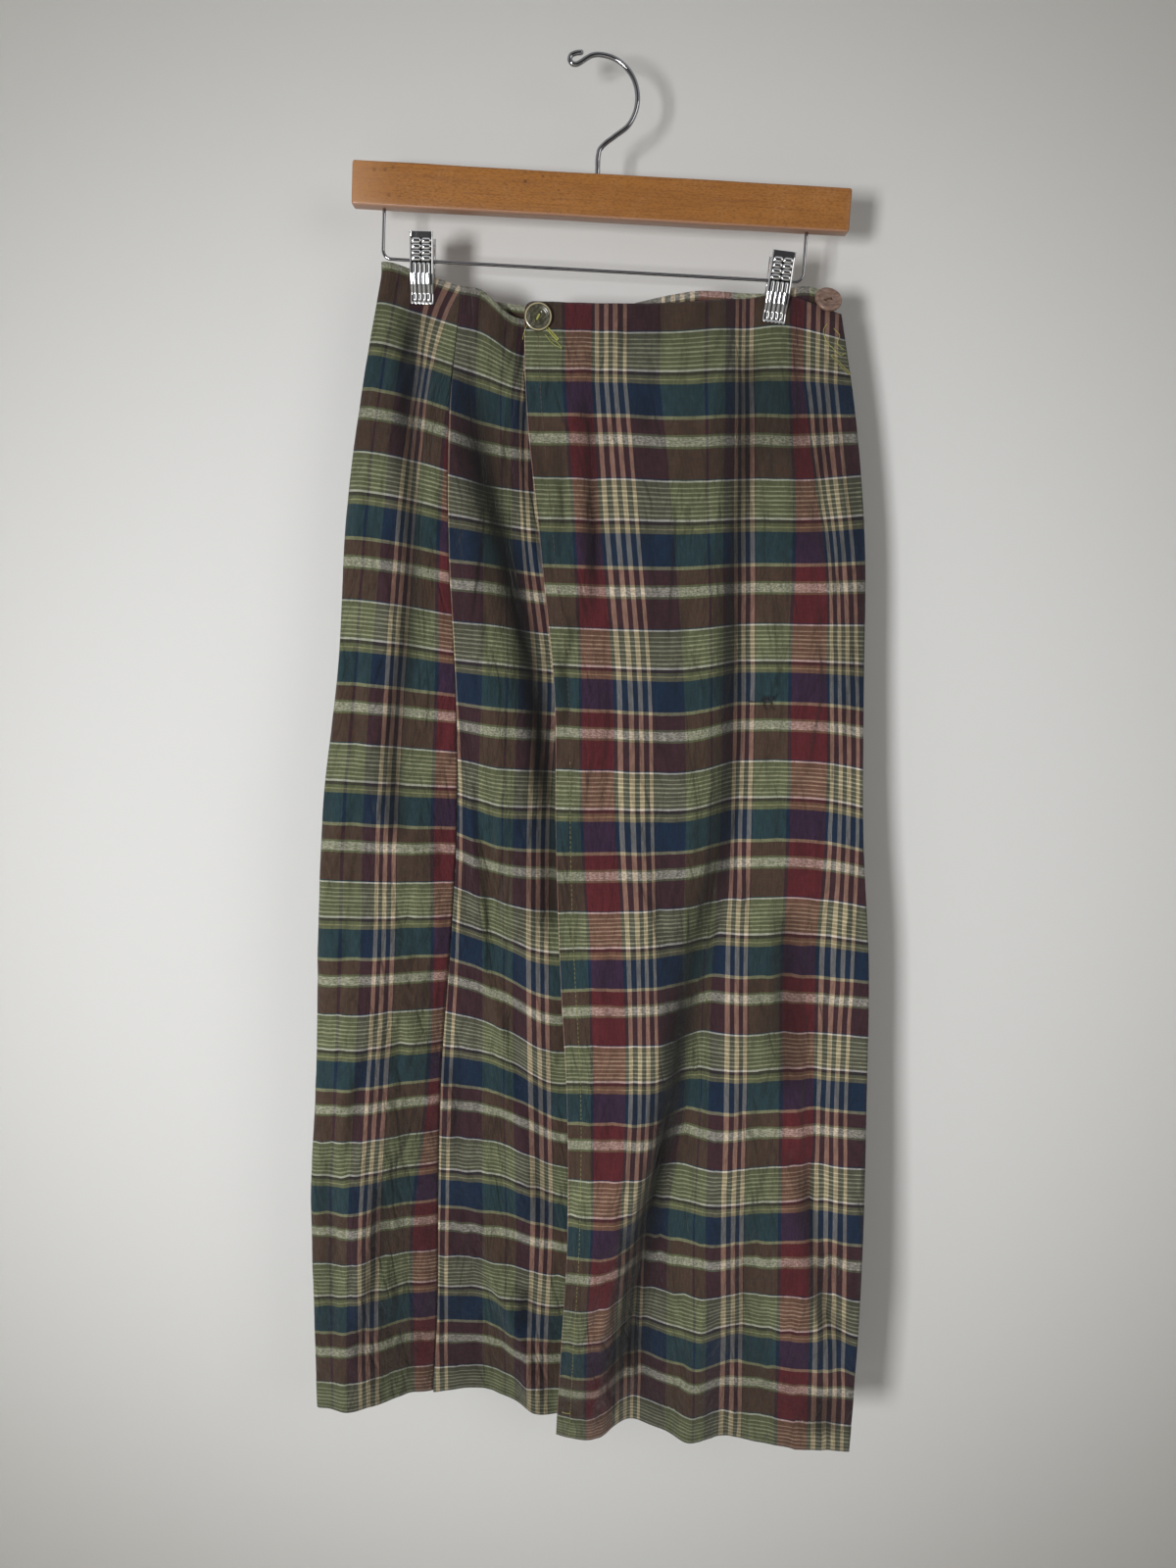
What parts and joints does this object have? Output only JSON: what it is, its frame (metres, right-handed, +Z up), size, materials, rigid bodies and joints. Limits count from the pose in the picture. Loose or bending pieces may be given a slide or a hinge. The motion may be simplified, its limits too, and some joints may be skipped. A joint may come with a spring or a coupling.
{
  "type": "maxi skirt on a hanger",
  "caption": "Long plaid wrap skirt with an overlapping front panel and side buttons, held flat by spring clips on a wooden bar hanger with a wire hook.",
  "frame": {"origin": "inner top of the hanger's hook, where a rail or peg carries the hanger", "axes": "+Z up, -Y out of the skirt's front, +X to the viewer's right"},
  "size_m": [0.4371, 0.1027, 1.0601],
  "materials": {
    "plaid_cotton": "matt plain-weave cotton, woven plaid in navy, green, wine red, maroon and cream",
    "hanger_wood": "satin varnished beech, worn at the ends",
    "hanger_chrome": "polished plated wire",
    "clip_chrome": "polished plated pressed steel",
    "horn_button": "smoky olive horn-like, glossy",
    "brown_button": "brown, satin"
  },
  "bodies": {
    "root": {"skirt_over_front": "plaid_cotton", "skirt_under_front": "plaid_cotton", "skirt_back": "plaid_cotton", "hanger_bar": "hanger_wood", "hanger_hook": "hanger_chrome", "hanger_rod": "hanger_chrome", "clip_left_front": "clip_chrome", "clip_left_back": "clip_chrome", "clip_left_spring": "clip_chrome", "clip_right_front": "clip_chrome", "clip_right_back": "clip_chrome", "clip_right_spring": "clip_chrome", "button_front": "horn_button", "button_side": "brown_button"}
  },
  "joints": []
}
